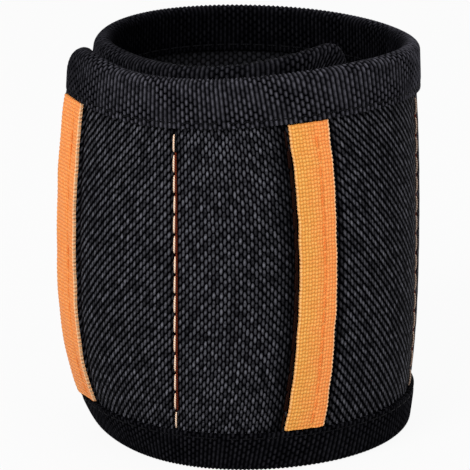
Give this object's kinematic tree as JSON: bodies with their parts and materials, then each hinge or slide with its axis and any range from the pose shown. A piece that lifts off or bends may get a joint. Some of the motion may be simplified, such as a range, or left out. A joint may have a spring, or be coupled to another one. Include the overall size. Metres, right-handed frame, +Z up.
{
  "type": "magnetic wristband",
  "caption": "Wide black fabric wristband with magnets padded into sewn pockets, bound edges, orange ribbons and a hook-and-loop closure, rolled into an upright ring.",
  "frame": {"origin": "under the middle of the ring's box, on the surface that the ring stands on", "axes": "+Z up across the band's width, along the ring's axis; -Y the front of the picture; +X to its right"},
  "size_m": [0.0838, 0.0832, 0.0952],
  "materials": {
    "ballistic_cloth": "coarse woven polyester",
    "lining_cloth": "soft matt cloth",
    "binding_tape": "ribbed tape",
    "orange_ribbon": "woven ribbon",
    "orange_thread": "sewing thread",
    "foam": "closed-cell foam",
    "magnet": "nickel plate",
    "hook_tape": "moulded nylon hooks",
    "loop_pile": "napped loop pile"
  },
  "bodies": {
    "tab": {"cover_tab": "ballistic_cloth", "lining_tab": "lining_cloth", "end_binding_tab": "binding_tape", "ribbon_tab": "orange_ribbon"},
    "flap": {"cover_flap": "ballistic_cloth", "lining_flap": "lining_cloth", "foam_flap": "foam", "magnet_flap_bottom": "magnet", "magnet_flap_middle": "magnet", "magnet_flap_top": "magnet", "top_binding_flap": "binding_tape", "bottom_binding_flap": "binding_tape", "hook_patch": "hook_tape"},
    "front": {"cover_front": "ballistic_cloth", "lining_front": "lining_cloth", "foam_front": "foam", "magnet_front_bottom": "magnet", "magnet_front_middle": "magnet", "magnet_front_top": "magnet", "top_binding_front": "binding_tape", "bottom_binding_front": "binding_tape", "stitching_front_left": "orange_thread", "stitching_front_right": "orange_thread"},
    "right": {"cover_right": "ballistic_cloth", "lining_right": "lining_cloth", "foam_right": "foam", "magnet_right_bottom": "magnet", "magnet_right_middle": "magnet", "magnet_right_top": "magnet", "top_binding_right": "binding_tape", "bottom_binding_right": "binding_tape", "ribbon_right": "orange_ribbon"},
    "side": {"cover_side": "ballistic_cloth", "lining_side": "lining_cloth", "foam_side": "foam", "magnet_side_bottom": "magnet", "magnet_side_middle": "magnet", "magnet_side_top": "magnet", "top_binding_side": "binding_tape", "bottom_binding_side": "binding_tape", "ribbon_side": "orange_ribbon", "stitching_side": "orange_thread"},
    "back": {"cover_back": "ballistic_cloth", "lining_back": "lining_cloth", "top_binding_back": "binding_tape", "bottom_binding_back": "binding_tape"},
    "left": {"cover_left": "ballistic_cloth", "lining_left": "lining_cloth", "top_binding_left": "binding_tape", "bottom_binding_left": "binding_tape"},
    "tail": {"cover_tail": "ballistic_cloth", "lining_tail": "lining_cloth", "top_binding_tail": "binding_tape", "bottom_binding_tail": "binding_tape", "loop_patch_tail": "loop_pile"},
    "tip": {"cover_tip": "ballistic_cloth", "lining_tip": "lining_cloth", "end_binding_tip": "binding_tape", "loop_patch_tip": "loop_pile"}
  },
  "joints": [
    {"name": "tab_peel", "type": "hinge", "parent": "flap", "child": "tab", "pos_m": [-0.03796, -0.02044, 0.045], "axis": [0, 0, 1], "range_deg": [0, 70]},
    {"name": "flap_unwrap", "type": "hinge", "parent": "front", "child": "flap", "pos_m": [-0.01611, -0.03958, 0.045], "axis": [0, 0, 1], "range_deg": [0, 55]},
    {"name": "unwrap", "type": "hinge", "parent": "front", "child": "right", "pos_m": [0.01293, -0.04055, 0.045], "axis": [0, 0, -1], "range_deg": [0, 50]},
    {"name": "side_unwrap", "type": "hinge", "parent": "right", "child": "side", "pos_m": [0.04213, -0.00783, 0.045], "axis": [0, 0, -1], "range_deg": [0, 60]},
    {"name": "back_unwrap", "type": "hinge", "parent": "side", "child": "back", "pos_m": [0.02768, 0.03357, 0.045], "axis": [0, 0, -1], "range_deg": [0, 62.5]},
    {"name": "left_unwrap", "type": "hinge", "parent": "back", "child": "left", "pos_m": [-0.01335, 0.03875, 0.045], "axis": [0, 0, -1], "range_deg": [0, 62.5]},
    {"name": "tail_unwrap", "type": "hinge", "parent": "left", "child": "tail", "pos_m": [-0.03667, 0.00411, 0.045], "axis": [0, 0, -1], "range_deg": [0, 62.5]},
    {"name": "tip_unwrap", "type": "hinge", "parent": "tail", "child": "tip", "pos_m": [-0.01503, -0.03134, 0.045], "axis": [0, 0, -1], "range_deg": [0, 65]}
  ],
  "couplings": [
    {"joint": "flap_unwrap", "follows": "unwrap", "ratio": 1.1},
    {"joint": "side_unwrap", "follows": "unwrap", "ratio": 1.2},
    {"joint": "back_unwrap", "follows": "unwrap", "ratio": 1.25},
    {"joint": "left_unwrap", "follows": "unwrap", "ratio": 1.25},
    {"joint": "tail_unwrap", "follows": "unwrap", "ratio": 1.25},
    {"joint": "tip_unwrap", "follows": "unwrap", "ratio": 1.3}
  ]
}
